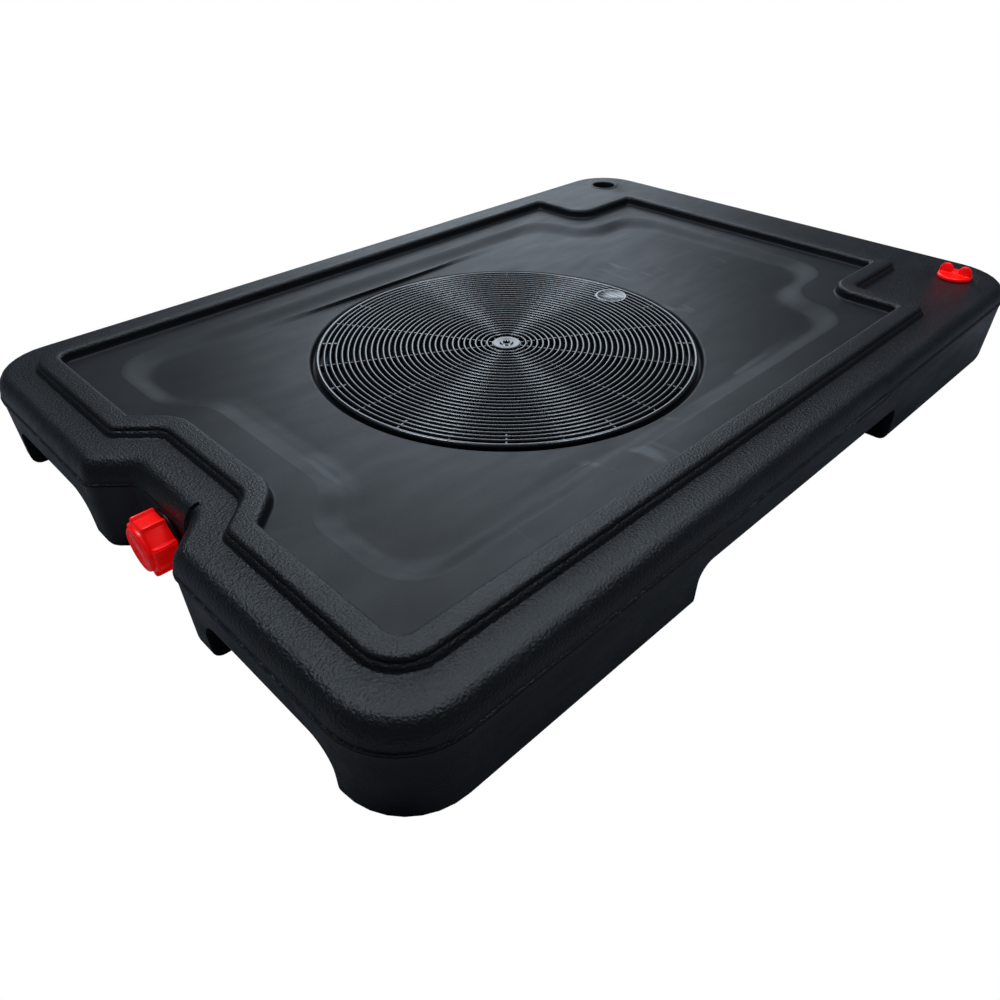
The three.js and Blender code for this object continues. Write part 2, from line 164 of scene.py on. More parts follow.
TANK = mirrored([
    (49.6 * MM, NOTCH_BACK_Y, 14 * MM),
    (80 * MM, -HALF_LENGTH, 18 * MM),
    (HALF_WIDTH, -HALF_LENGTH, 63 * MM),
    *[(HALF_WIDTH, JOG_Y + JOG_HALF * k / 4, 0) for k in range(-4, 5)],
    (HALF_WIDTH, HALF_LENGTH, 71 * MM),
])


def seam_rise(y):
    return JOG_RISE * smooth((y - JOG_Y + JOG_HALF) / (2 * JOG_HALF))


print("tank outline", len(rounded(TANK)), "points")

# %% [markdown]
# The rim follows its own outline, about 40 mm inside the tank's. It steps back round the spout
# notch and comes in at both rear corners to leave room for the vent plug and the breather hole.

# %% Outline of the rim
RIM_WIDTH = 22 * MM
RIM_HALF = 300 * MM
RIM_FRONT = -465 * MM
RIM_REAR = 415.5 * MM
REAR_STEP_X = 216.5 * MM
REAR_STEP_Y = 303.5 * MM

RIM = mirrored([
    (68 * MM, RIM_FRONT + 35 * MM, 24 * MM),
    (101 * MM, RIM_FRONT, 12 * MM),
    (RIM_HALF, RIM_FRONT, 34 * MM),
    (RIM_HALF, REAR_STEP_Y, 10 * MM),
    (REAR_STEP_X, REAR_STEP_Y, 8 * MM),
    (REAR_STEP_X, RIM_REAR, 10 * MM),
])
print("rim outline", len(rounded(RIM)), "points")

# %% [markdown]
# ## Drawing loops
# Most of the pan is made the way a boat's hull is lofted. We draw one closed loop of edges, then
# extrude it again and again and push each new loop to its own outline and height. The helpers
# below work on the mesh in edit mode and remember which vertices belong to which loop.

# %% Loop helpers
def start_mesh(name):
    """A new object in edit mode with an empty mesh of its own."""
    bpy.ops.object.select_all(action="DESELECT")
    bpy.ops.mesh.primitive_circle_add(vertices=3, radius=MM)
    obj = bpy.context.object
    obj.name = name
    obj.data.name = name
    bpy.ops.object.mode_set(mode="EDIT")
    bpy.ops.mesh.select_mode(type="VERT")
    bpy.ops.mesh.select_all(action="SELECT")
    bpy.ops.mesh.delete(type="VERT")
    return obj


def edit_mesh():
    mesh = bmesh.from_edit_mesh(bpy.context.object.data)
    mesh.verts.ensure_lookup_table()
    mesh.verts.index_update()
    return mesh


def pick(*loops):
    """Selects the vertices of these loops and nothing else."""
    bpy.ops.mesh.select_all(action="DESELECT")
    mesh = edit_mesh()
    for loop in loops:
        for index in loop:
            mesh.verts[index].select = True
    mesh.select_flush(True)
    bmesh.update_edit_mesh(bpy.context.object.data)


def draw_loop(points):
    """A circle with as many vertices as there are points, each put in its place."""
    bpy.ops.mesh.select_all(action="DESELECT")
    bpy.ops.mesh.primitive_circle_add(vertices=len(points), radius=0.1)
    ring = [vertex for vertex in edit_mesh().verts if vertex.select]
    for vertex, point in zip(ring, points):
        vertex.co = point
    bmesh.update_edit_mesh(bpy.context.object.data)
    return [vertex.index for vertex in ring]


def push_loop(loop, points):
    """Extrudes a loop's edges and puts each new vertex at its own point."""
    pick(loop)
    bpy.ops.mesh.extrude_edges_move()
    mesh = edit_mesh()
    place = {index: i for i, index in enumerate(loop)}
    pushed = [0] * len(loop)
    for vertex in [vertex for vertex in mesh.verts if vertex.select]:
        for edge in vertex.link_edges:
            old = edge.other_vert(vertex).index
            if old in place:
                vertex.co = points[place[old]]
                pushed[place[old]] = vertex.index
    bmesh.update_edit_mesh(bpy.context.object.data)
    return pushed


def push_all(loop, rings):
    for points in rings:
        loop = push_loop(loop, points)
    return loop


def level(corners, inset, height, smallest=TIGHTEST):
    """The points of one level: an inset outline at a height, which may depend on the place."""
    flat = rounded(offset(corners, inset, smallest))
    return [Vector((p.x, p.y, height(p.y) if callable(height) else height)) for p in flat]


def circle(radius, z, x=0, y=0, count=48):
    turns = [2 * math.pi * k / count for k in range(count)]
    return [Vector((x + radius * math.cos(t), y + radius * math.sin(t), z)) for t in turns]


def fill_loop(loop):
    pick(loop)
    bpy.ops.mesh.edge_face_add()


def close_shape(smallest=1e-5):
    """Merges what lies on the same spot, turns the faces outwards and leaves edit mode."""
    bpy.ops.mesh.select_all(action="SELECT")
    bpy.ops.mesh.remove_doubles(threshold=smallest)
    bpy.ops.mesh.normals_make_consistent(inside=False)
    bpy.ops.object.mode_set(mode="OBJECT")


def choose(obj):
    """Makes this object the only selected one, and the active one."""
    bpy.ops.object.select_all(action="DESELECT")
    obj.select_set(True)
    bpy.context.view_layer.objects.active = obj


def apply_modifier(obj, kind, **settings):
    choose(obj)
    modifier = obj.modifiers.new(kind.lower(), kind)
    for key, value in settings.items():
        setattr(modifier, key, value)
    bpy.ops.object.modifier_apply(modifier=modifier.name)


def combine(obj, tool, operation):
    """Joins, cuts or intersects a solid with another one, which is used up."""
    apply_modifier(obj, "BOOLEAN", object=tool, operation=operation, solver="MANIFOLD")
    bpy.data.objects.remove(tool)


def turned(name, profile, steps=64, on_axis=False):
    """A turned solid: a closed section of (radius, height) points is spun about the Z axis."""
    obj = start_mesh(name)
    loop = draw_loop([Vector((radius, 0, z)) for radius, z in profile])
    if on_axis:
        pick([loop[0], loop[-1]])
        bpy.ops.mesh.delete(type="EDGE_FACE")
    bpy.ops.mesh.select_all(action="SELECT")
    bpy.ops.mesh.spin(steps=steps, angle=2 * math.pi, center=(0, 0, 0), axis=(0, 0, 1))
    close_shape()
    return obj


def turned_mm(name, profile, base, steps=64, on_axis=False):
    """A turned solid from a section in millimetres, with its heights measured from a base."""
    return turned(name, [(r * MM, base + z * MM) for r, z in profile], steps, on_axis)


def place_piece(obj, shift=(0, 0, 0), turn=(0, 0, 0)):
    """Turns and moves a piece, then applies both so that its place is in its mesh."""
    choose(obj)
    obj.rotation_euler = turn
    obj.location = shift
    bpy.ops.object.transform_apply(location=True, rotation=True, scale=True)
    return obj


def count_of(obj):
    return f"{obj.name}: {len(obj.data.polygons)} faces"


def finish_piece(obj, material, body, nodes=(), smooth_angle=35):
    """Shades a piece, gives it its material and hangs it on its body."""
    choose(obj)
    bpy.ops.object.shade_smooth_by_angle(angle=math.radians(smooth_angle))
    if not any(obj.data.materials):
        obj.data.materials.clear()
        obj.data.materials.append(material)
    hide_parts(*nodes)
    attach(obj, body)
    print(count_of(obj))


# %% [markdown]
# ## Materials
# Blow-moulded polyethylene copies the mould's sand-blasted skin, so the rim and the shoulders have
# a pebbled grain, while the tray and the lower walls are smoother. A noise at about two
# millimetres drives the bump, slower ones change the tint and the roughness, and a few cut-off
# noises leave the pale scuffs that such a pan picks up, most of all along its seam.

# %% Node helpers
def new_material(name):
    material = bpy.data.materials.new(name)
    material.use_nodes = True
    nodes = material.node_tree.nodes
    return material, nodes, material.node_tree.links, nodes["Principled BSDF"]


def add_noise(nodes, links, place, scale, detail=2.0, stretch=(1, 1, 1)):
    """A noise on the piece's own coordinates; stretch squeezes it along an axis."""
    mapping = nodes.new("ShaderNodeMapping")
    mapping.inputs["Scale"].default_value = stretch
    noise = nodes.new("ShaderNodeTexNoise")
    noise.inputs["Scale"].default_value = scale
    noise.inputs["Detail"].default_value = detail
    links.new(place.outputs["Object"], mapping.inputs["Vector"])
    links.new(mapping.outputs["Vector"], noise.inputs["Vector"])
    return noise.outputs["Fac"]


def add_range(nodes, links, value, low_in, high_in, low_out, high_out):
    """Maps a value from one range to another, and clamps it."""
    mapped = nodes.new("ShaderNodeMapRange")
    sockets = ("From Min", "From Max", "To Min", "To Max")
    for name, number in zip(sockets, (low_in, high_in, low_out, high_out)):
        mapped.inputs[name].default_value = number
    links.new(value, mapped.inputs["Value"])
    return mapped.outputs["Result"]


def add_bump(nodes, links, height, strength, distance, before=None):
    bump = nodes.new("ShaderNodeBump")
    bump.inputs["Strength"].default_value = strength
    bump.inputs["Distance"].default_value = distance
    links.new(height, bump.inputs["Height"])
    if before:
        links.new(before, bump.inputs["Normal"])
    return bump.outputs["Normal"]


def add_mix(nodes, links, factor, first, second):
    """Blends two colours, either of which may be a plain colour or another node's."""
    mix = nodes.new("ShaderNodeMix")
    mix.data_type = "RGBA"
    links.new(factor, mix.inputs["Factor"])
    for socket, colour in ((mix.inputs[6], first), (mix.inputs[7], second)):
        if isinstance(colour, tuple):
            socket.default_value = colour
        else:
            links.new(colour, socket)
    return mix.outputs[2]


def add_math(nodes, links, operation, first, second):
    node = nodes.new("ShaderNodeMath")
    node.operation = operation
    for socket, value in zip(node.inputs, (first, second)):
        if isinstance(value, (int, float)):
            socket.default_value = value
        else:
            links.new(value, socket)
    return node.outputs[0]


# %% Black plastic
CHARCOAL = (0.0045, 0.0052, 0.0068, 1)
CHARCOAL_PALE = (0.0085, 0.0096, 0.012, 1)
SCUFF = (0.16, 0.165, 0.175, 1)


def seam_marks(nodes, links, place):
    """Pale rubbed spots in a narrow band along the seam, where the pan knocks against things."""
    axes = nodes.new("ShaderNodeSeparateXYZ")
    links.new(place.outputs["Object"], axes.inputs["Vector"])
    away = add_math(nodes, links, "SUBTRACT", axes.outputs["Z"], SEAM_Z + 0.6 * MM)
    near = add_range(nodes, links, add_math(nodes, links, "ABSOLUTE", away, 0), 0.5 * MM, 2.2 * MM, 1, 0)
    spots = add_range(nodes, links, add_noise(nodes, links, place, 230, detail=4), 0.55, 0.63, 0, 1)
    patch = add_range(nodes, links, add_noise(nodes, links, place, 11, detail=2), 0.47, 0.56, 0, 1)
    return add_math(nodes, links, "MULTIPLY", add_math(nodes, links, "MULTIPLY", near, spots), patch)


def black_plastic(
        name, grain, grain_scale, rough_low, rough_high, sheen, wave=0.15, scuffs=0.0, rubbed=0.0):
    """Moulded black polyethylene with a pebbled grain, uneven gloss and a few pale scuffs."""
    material, nodes, links, shader = new_material(name)
    place = nodes.new("ShaderNodeTexCoord")
    pebbles = add_noise(nodes, links, place, grain_scale, detail=3)
    flow = add_noise(nodes, links, place, 9, detail=4)
    haze = add_noise(nodes, links, place, 60, detail=5, stretch=(1, 0.25, 1))
    tint = add_mix(nodes, links, add_range(nodes, links, flow, 0.3, 0.7, 0, 1), CHARCOAL, CHARCOAL_PALE)
    rough = add_range(nodes, links, haze, 0.3, 0.7, rough_low, rough_high)
    if scuffs:
        streak = add_noise(nodes, links, place, 34, detail=6, stretch=(0.22, 1, 1.6))
        patch = add_noise(nodes, links, place, 5, detail=2)
        marks = add_range(nodes, links, streak, 0.6, 0.68, 0, scuffs)
        where = add_range(nodes, links, patch, 0.57, 0.66, 0, 1)
        worn = add_math(nodes, links, "MULTIPLY", marks, where)
        tint = add_mix(nodes, links, worn, tint, SCUFF)
    if rubbed:
        worn = add_math(nodes, links, "MULTIPLY", seam_marks(nodes, links, place), rubbed)
        tint = add_mix(nodes, links, worn, tint, SCUFF)
    links.new(tint, shader.inputs["Base Color"])
    links.new(rough, shader.inputs["Roughness"])
    soft = add_bump(nodes, links, flow, wave, 2 * MM)
    links.new(add_bump(nodes, links, pebbles, grain, 1.1 * MM, before=soft), shader.inputs["Normal"])
    shader.inputs["Specular IOR Level"].default_value = sheen
    return material


grained_plastic = black_plastic("grained black plastic", 1.0, 480, 0.36, 0.46, 0.32, rubbed=0.5)
tray_plastic = black_plastic("tray black plastic", 0.12, 700, 0.45, 0.53, 0.22, wave=0.07, scuffs=0.3)
wall_plastic = black_plastic("wall black plastic", 0.4, 420, 0.42, 0.56, 0.26, scuffs=0.3, rubbed=0.5)
strainer_plastic = black_plastic("strainer black plastic", 0.03, 900, 0.2, 0.25, 0.85)
fitting_plastic = black_plastic("fitting black plastic", 0.1, 800, 0.36, 0.46, 0.4)
print("black plastics made")

# %% [markdown]
# The cap and the plug are red injection-moulded plastic. It is a little translucent, so light
# that enters it comes out redder and softer, and its skin is smoother and glossier than the tank's.
# A faint glow of its own colour is painted light: the plastic emits light though it is no lamp, which
# keeps its shaded sides bright red.

# %% Red plastic and rubber
RED = (1, 0.004, 0.002, 1)
RED_DEEP = (0.86, 0.002, 0.001, 1)
# strength of the painted glow that the red plastic gives off, though it is no lamp
RED_PAINTED_GLOW = 0.28
RUBBER = (0.012, 0.012, 0.012, 1)
RUBBER_DUSTY = (0.03, 0.03, 0.03, 1)


def red_plastic_with_painted_glow():
    material, nodes, links, shader = new_material("red plastic")
    place = nodes.new("ShaderNodeTexCoord")
    flow = add_noise(nodes, links, place, 90, detail=3)
    skin = add_noise(nodes, links, place, 1400, detail=2)
    tint = add_mix(nodes, links, add_range(nodes, links, flow, 0.3, 0.7, 0, 1), RED, RED_DEEP)
    links.new(tint, shader.inputs["Base Color"])
    links.new(add_range(nodes, links, flow, 0.3, 0.7, 0.27, 0.38), shader.inputs["Roughness"])
    links.new(add_bump(nodes, links, skin, 0.12, 0.2 * MM), shader.inputs["Normal"])
    shader.inputs["Specular IOR Level"].default_value = 0.35
    # painted glow: the red emits light of its own colour, which brightens its shaded sides
    links.new(tint, shader.inputs["Emission Color"])
    shader.inputs["Emission Strength"].default_value = RED_PAINTED_GLOW
    shader.inputs["Subsurface Weight"].default_value = 0.12
    shader.inputs["Subsurface Radius"].default_value = (0.004, 0.0006, 0.0004)
    return material


def seal_rubber():
    material, nodes, links, shader = new_material("seal rubber")
    place = nodes.new("ShaderNodeTexCoord")
    dust = add_noise(nodes, links, place, 300, detail=5)
    share = add_range(nodes, links, dust, 0.4, 0.7, 0, 1)
    tint = add_mix(nodes, links, share, RUBBER, RUBBER_DUSTY)
    links.new(tint, shader.inputs["Base Color"])
    links.new(add_range(nodes, links, dust, 0.3, 0.7, 0.75, 0.9), shader.inputs["Roughness"])
    links.new(add_bump(nodes, links, dust, 0.2, 0.3 * MM), shader.inputs["Normal"])
    return material


cap_red = red_plastic_with_painted_glow()
rubber = seal_rubber()
print("red plastic and rubber made")

# %% [markdown]
# ## The upper shell
# The shell is one skin that we loft from the seam upwards. A small bead runs along the seam, then
# the shoulder rounds over on to the flat deck. The rim is a second stack of loops on the deck, and
# the flat deck between the two is filled afterwards, together with the two holes at the rear.

# %% Shoulder
SHOULDER_INSET = 14 * MM
SHOULDER_STEPS = 10
SHOULDER_TIGHTEST = 15 * MM
FLAT_EDGE = 0.8 * MM


def lifted(z):
    """A height near the seam, raised where the seam steps up and fading out at the deck."""
    share = (DECK_Z - z) / (DECK_Z - SEAM_Z)
    return lambda y: z + seam_rise(y) * min(share, 1)


def shoulder_rings():
    bead = [(0.15, 0.2), (0.15, -0.8), (0.5, -1.3), (1.3, -1.3), (1.8, -0.9), (2.3, 0)]
    rings = [level(TANK, inset * MM, lifted(SEAM_Z + (rise - 0.2) * MM)) for rise, inset in bead]
    start = SEAM_Z + 2.3 * MM
    for k in range(1, SHOULDER_STEPS + 1):
        angle = math.pi / 2 * k / SHOULDER_STEPS
        z = start + (DECK_Z - start) * math.sin(angle)
        inset = SHOULDER_INSET * (1 - math.cos(angle))
        rings.append(level(TANK, inset, lifted(z), SHOULDER_TIGHTEST))
    rings.append(level(TANK, SHOULDER_INSET + FLAT_EDGE, DECK_Z, SHOULDER_TIGHTEST))
    return rings


upper = start_mesh("upper_shell_skin")
rings = shoulder_rings()
deck_edge = push_all(draw_loop(rings[0]), rings[1:])
print("shoulder has", len(rings), "loops")

# %% [markdown]
# The rim leans in a little on its outside, is rounded on both top edges and drops almost straight
# down into the tray. Its foot meets the deck in a tight fillet, which reads as a thin dark line.

# %% Rim
LEDGE_Z = 97 * MM
ROUND = 4.5 * MM
ROUND_STEPS = 6
INNER_RADIUS = 6 * MM


def rim_rings():
    outside = [(0, -5.2), (0.15, -4.3), (0.9, -3.6), (3, -2.6), (4.5, -1.6)]
    rings = [level(RIM, inset * MM, DECK_Z + rise * MM) for rise, inset in outside]
    edge = []
    for k in range(ROUND_STEPS + 1):
        angle = math.pi / 2 * k / ROUND_STEPS
        edge.append((ROUND * (1 - math.cos(angle)), RIM_Z - ROUND * (1 - math.sin(angle))))
    rings += [level(RIM, inset, z, INNER_RADIUS) for inset, z in edge]
    rings += [level(RIM, RIM_WIDTH - inset, z, INNER_RADIUS) for inset, z in edge[::-1]]
    foot = [(2.5, 22.6), (1.0, 23.2), (0.3, 24.1), (0, 25.6)]
    rings += [level(RIM, inset * MM, LEDGE_Z + rise * MM, INNER_RADIUS) for rise, inset in foot]
    return rings


rings = rim_rings()
rim_base = draw_loop(rings[0])
ledge_edge = push_all(rim_base, rings[1:])
print("rim has", len(rings), "loops")

# %% [markdown]
# The tray floor has to run from an angular outline to a round well. Seen from the well's centre
# every ray crosses each tray outline once, so we sample the outlines by angle: the same ray then
# gives one point on every loop, and the faces between them stay neat.

# %% Sampling an outline by angle
WELL_Y = -68.5 * MM
RAYS = 360


def by_angle(corners, count=RAYS):
    """Where rays from the well's centre meet an outline, one every degree."""
    points = rounded(corners, 12)
    polar = []
    for p in points:
        arm = Vector((p.x, p.y - WELL_Y))
        polar.append((math.atan2(arm.y, arm.x) % (2 * math.pi), p))
    polar.sort(key=lambda item: item[0])
    found = []
    for k in range(count):
        turn = 2 * math.pi * k / count
        after = next((i for i, item in enumerate(polar) if item[0] > turn), 0)
        (_, a), (_, b) = polar[after - 1], polar[after]
        ray = Vector((math.cos(turn), math.sin(turn)))
        side = b - a
        reach = (Vector((a.x, a.y - WELL_Y))).cross(side) / ray.cross(side)
        found.append(Vector((ray.x * reach, ray.y * reach + WELL_Y)))
    return found


# %% [markdown]
# Inside the rim there is a flat ledge, then a soft step down to the floor. The floor is dished:
# level at its edge and falling gently towards the well, so that the oil runs to the strainer.

# %% Tray floor and well
LEDGE_WIDTH = 33 * MM
STEP_WIDTH = 24 * MM
BASIN_Z = 90.5 * MM
WELL_EDGE_Z = 86 * MM
WELL_RADIUS = 213 * MM
DISH_REACH = 150 * MM
BASIN_CORNER = 45 * MM


def basin_outline(corners, inset):
    return [(x, y, BASIN_CORNER) for x, y, _ in offset(corners, inset)]


BASIN = basin_outline(RIM, RIM_WIDTH + LEDGE_WIDTH)


def dish(radius):
    far = min(max((radius - WELL_RADIUS) / DISH_REACH, 0), 1)
    return WELL_EDGE_Z + (BASIN_Z - WELL_EDGE_Z) * (1 - (1 - far) ** 2)


def basin_ring(inset, z):
    return [Vector((p.x, p.y, z)) for p in by_angle(basin_outline(BASIN, inset))]


def step_rings():
    rings = []
    for t in (0, 0.05, 0.12, 0.22, 0.34, 0.48, 0.62, 0.76, 0.88, 1):
        fall = 0.35 * (1 - (1 - t) ** 2) + 0.65 * smooth(t)
        rings.append(basin_ring(STEP_WIDTH * t, LEDGE_Z - (LEDGE_Z - BASIN_Z) * fall))
    return rings


def floor_rings(edge, cuts=10):
    """Loops from the foot of the step to the lip of the well, each a share of the way along."""
    rings = []
    lip = WELL_RADIUS + 3.5 * MM
    for k in range(1, cuts + 1):
        ring = []
        for p in edge:
            arm = Vector((p.x, p.y - WELL_Y))
            reach = arm.length + (lip - arm.length) * k / cuts
            spot = arm.normalized() * reach
            ring.append(Vector((spot.x, spot.y + WELL_Y, dish(reach))))
        rings.append(ring)
    return rings


def well_rings():
    lip = [(2.6, 0.15), (1.5, -0.3), (0.6, -1.1), (0.1, -2.2), (0, -3.5), (-0.2, -6.2), (-0.9, -7.4)]
    seat = [(-2.2, -8), (-16, -8), (-16.8, -8.4), (-17, -9.2), (-17, -13)]
    section = [(WELL_RADIUS + out * MM, WELL_EDGE_Z + rise * MM) for out, rise in lip + seat]
    return [circle(radius, z, 0, WELL_Y, RAYS) for radius, z in section]


steps = step_rings()
step_top = draw_loop(steps[0])
push_all(step_top, steps[1:] + floor_rings(steps[-1]) + well_rings())
print("tray floor and well drawn with", RAYS, "rays")

# %% [markdown]
# The flat parts are left: the ledge between the rim's foot and the step, and the deck between the
# shoulder, the rim and the two rear holes. Each is filled between its loops in one go. Then the
# skin gets its wall thickness on the inside, as in a real blow-moulded tank.

# %% Holes, flat parts and wall
VENT = ((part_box("vent_bush")[0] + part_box("vent_bush")[1]) / 2).to_2d()
SHELL_WALL = 3 * MM


def fill_between(*loops):
    pick(*loops)
    bpy.ops.mesh.fill(use_beauty=True)


def hole_rings(x, y, lip):
    return [circle(radius * MM, DECK_Z + rise * MM, x, y) for radius, rise in lip]


vent_lip = hole_rings(VENT.x, VENT.y, [(21.5, 0), (21, -0.25), (18.2, -0.25), (17.5, -0.8), (17.4, -5)])
vent_edge = draw_loop(vent_lip[0])
push_all(vent_edge, vent_lip[1:])
breather_lip = hole_rings(-VENT.x, VENT.y, [
    (22, 0), (21.3, 0.3), (20.4, 1.1), (19.3, 1.6), (18.2, 1.4), (17.5, 0.6), (17.2, -0.8), (17.1, -9),
])
breather_edge = draw_loop(breather_lip[0])
push_all(breather_edge, breather_lip[1:])
fill_between(deck_edge, rim_base, vent_edge, breather_edge)
fill_between(ledge_edge, step_top)
bpy.ops.mesh.select_all(action="SELECT")
bpy.ops.mesh.normals_make_consistent(inside=False)
bpy.ops.object.mode_set(mode="OBJECT")


def face_up(obj):
    """Flips an open skin if its top looks down."""
    rise = sum(face.normal.z * face.area for face in obj.data.polygons)
    if rise < 0:
        bpy.ops.object.mode_set(mode="EDIT")
        bpy.ops.mesh.select_all(action="SELECT")
        bpy.ops.mesh.flip_normals()
        bpy.ops.object.mode_set(mode="OBJECT")


face_up(upper)
print(count_of(upper))

# %% [markdown]
# The same piece wears two finishes. Every face inside the rim and below its rounded top gets the
# smooth tray skin, and all the others keep the pebbled one. We choose them by place before the
# wall is added, so that the inner wall takes the finish of the face in front of it.

# %% Two finishes on one shell
def encloses(points, x, y):
    """Counts how often a line from the spot crosses the outline: an odd number means inside."""
    inside = False
    for a, b in zip(points, points[1:] + points[:1]):
        if (a.y > y) != (b.y > y) and x < (b.x - a.x) * (y - a.y) / (b.y - a.y) + a.x:
            inside = not inside
    return inside


upper.data.materials.append(grained_plastic)
upper.data.materials.append(tray_plastic)
rim_inside = rounded(offset(RIM, RIM_WIDTH))
for face in upper.data.polygons:
    x, y, z = face.center
    if z < RIM_Z - ROUND and encloses(rim_inside, x, y):
        face.material_index = 1
apply_modifier(upper, "SOLIDIFY", thickness=SHELL_WALL, offset=-1, use_even_offset=False)
upper.name = "tray_and_deck"
finish_piece(upper, grained_plastic, "pan", ["upper_shell"], smooth_angle=40)

# %% [markdown]
# ## The lower shell
# The lower half starts as a solid block with the tank's outline and a rounded foot. The arches
# between the legs are then cut away with a few long blocks whose upper edges are rounded first,
# so that every arch keeps the soft fillets of a moulded part.

# %% Block of the lower shell
FOOT_ROUND = 10 * MM
DRAFT = 2 * MM
ARCH_Z = 45.5 * MM


def lofted(name, rings):
    """A closed solid through a stack of loops, with a face across each end."""
    obj = start_mesh(name)
    first = draw_loop(rings[0])
    last = push_all(first, rings[1:])
    fill_loop(first)
    fill_loop(last)
    close_shape()
    return obj


def raised(z):
    """A height under the seam, raised along with the seam and fading out at the arches."""
    share = (z - ARCH_Z) / (SEAM_Z - ARCH_Z)
    return lambda y: z + seam_rise(y) * max(share, 0)


def lower_rings():
    rings = []
    for k in range(0, 6):
        angle = math.pi / 2 * k / 5
        inset = DRAFT + FOOT_ROUND * (1 - math.sin(angle))
        rings.append(level(TANK, inset, FOOT_ROUND * (1 - math.cos(angle))))
    top = SEAM_Z - 0.4 * MM
    bead = [(-30, 0.9), (-3, 0.1), (-2.2, -0.1), (-1.7, -0.9), (-1.2, -1.3), (-0.4, -1.3), (-0.05, -0.9)]
    return rings + [level(TANK, inset * MM, raised(top + rise * MM)) for rise, inset in bead]


lower = lofted("tank_and_legs", lower_rings())
print(count_of(lower))

# %% [markdown]
# The cutting blocks: one long arch under the middle that runs out at the rear, one across from
# side to side, and two at the front on either side of the sump. The sump is the deep part under
# the spout, where the last of the oil collects.

# %% Cut the arches
LEG_X = 276.5 * MM
FRONT_LEG_END = -186 * MM
REAR_LEG_START = 181 * MM
SUMP_X = 108 * MM
SUMP_REAR = -380 * MM
SKIRT_Z = 49 * MM
FAR = 600 * MM
UNDER = -20 * MM


def block(x0, x1, y0, y1, z0, z1):
    bpy.ops.object.select_all(action="DESELECT")
    centre = ((x0 + x1) / 2, (y0 + y1) / 2, (z0 + z1) / 2)
    bpy.ops.mesh.primitive_cube_add(size=1, location=centre, scale=(x1 - x0, y1 - y0, z1 - z0))
    bpy.ops.object.transform_apply(location=True, rotation=True, scale=True)
    return bpy.context.object


def round_edges(obj, chosen, radius, segments=8):
    """Bevels the edges that chosen picks by their middle and direction."""
    bpy.ops.object.mode_set(mode="EDIT")
    bpy.ops.mesh.select_mode(type="EDGE")
    bpy.ops.mesh.select_all(action="DESELECT")
    mesh = bmesh.from_edit_mesh(obj.data)
    for edge in mesh.edges:
        a, b = edge.verts[0].co, edge.verts[1].co
        edge.select = chosen((a + b) / 2, (b - a).normalized())
    mesh.select_flush_mode()
    bmesh.update_edit_mesh(obj.data)
    bpy.ops.mesh.bevel(offset=radius, segments=segments, affect="EDGES")
    bpy.ops.mesh.select_mode(type="VERT")
    bpy.ops.object.mode_set(mode="OBJECT")
    return obj


def arch_tools():
    middle = block(-LEG_X, LEG_X, SUMP_REAR, FAR, UNDER, ARCH_Z)
    round_edges(middle, lambda m, d: m.z > ARCH_Z - MM and abs(d.y) > 0.9, 16 * MM)
    across = block(-FAR, FAR, FRONT_LEG_END, REAR_LEG_START, UNDER, ARCH_Z)
    round_edges(across, lambda m, d: m.z > ARCH_Z - MM and abs(d.x) > 0.9, 17 * MM)
    fronts = []
    for side in (-1, 1):
        inner, outer = sorted((side * SUMP_X, side * LEG_X))
        front = block(inner, outer, -FAR, SUMP_REAR + 10 * MM, UNDER, SKIRT_Z)
        fronts.append(round_edges(front, lambda m, d: m.z > SKIRT_Z - MM and abs(d.y) > 0.9, 24 * MM))
    return [middle, across, *fronts]


for tool in arch_tools():
    combine(lower, tool, "DIFFERENCE")
print(count_of(lower))

# %% [markdown]
# A cut leaves knife edges, which no mould can make. A narrow bevel on everything sharper than 45
# degrees turns them into the small radii of a plastic part before we hollow the tank out.

# %% Soften the cut edges
CUT_ROUND = 2.6 * MM
SHARP = math.radians(45)

apply_modifier(
    lower, "BEVEL", width=CUT_ROUND, segments=3, limit_method="ANGLE", angle_limit=SHARP, loop_slide=True)
print(count_of(lower))

# %% [markdown]
# Now the hollow. One lofted solid empties the belly, and a second one, kept only where it lies
# over the legs and the sump, empties those. Four cones stand up from the belly to hold the tray.

# %% Hollow the tank
WALL = 4 * MM
BELLY_FLOOR_Z = 52.5 * MM
POCKETS = [(-110, 290), (110, 290), (-175, -330), (175, -330)]


def joined(tools):
    """Several separate tools as one object."""
    bpy.ops.object.select_all(action="DESELECT")
    for tool in tools:
        tool.select_set(True)
    bpy.context.view_layer.objects.active = tools[0]
    bpy.ops.object.join()
    return tools[0]


def belly_hollow():
    floor = [(0, 12), (1.2, 8), (4, 5), (9, 4)]
    rings = [level(TANK, inset * MM, BELLY_FLOOR_Z + rise * MM) for rise, inset in floor]
    return lofted("belly hollow", rings + [level(TANK, WALL, SEAM_Z + 12 * MM)])


def foot_hollows():
    rings = [level(TANK, inset * MM, z * MM) for z, inset in ((4, 17), (7, 9), (13, 6.5), (60, 5))]
    hollow = lofted("foot hollow", rings)
    spots = [(-SUMP_X + WALL, SUMP_X - WALL, -FAR, SUMP_REAR - WALL)]
    for side in (-1, 1):
        inner, outer = sorted((side * (LEG_X + WALL), side * FAR))
        spots.append((inner, outer, -FAR, FRONT_LEG_END - WALL))
        spots.append((inner, outer, REAR_LEG_START + WALL, FAR))
    blocks = joined([block(x0, x1, y0, y1, 0, 90 * MM) for x0, x1, y0, y1 in spots])
    combine(hollow, blocks, "INTERSECT")
    return hollow


def pocket_cones(grow, foot_z, top_z):
    """Four upright cones, all wider by the same amount, which is the wall when they are cut out."""
    cones = []
    for x, y in POCKETS:
        bpy.ops.object.select_all(action="DESELECT")
        bpy.ops.mesh.primitive_cone_add(
            vertices=40, radius1=34 * MM + grow, radius2=16 * MM + grow, depth=top_z - foot_z,
            location=(x * MM, y * MM, (foot_z + top_z) / 2))
        cones.append(bpy.context.object)
    return joined([place_piece(cone, cone.location.copy()) for cone in cones])


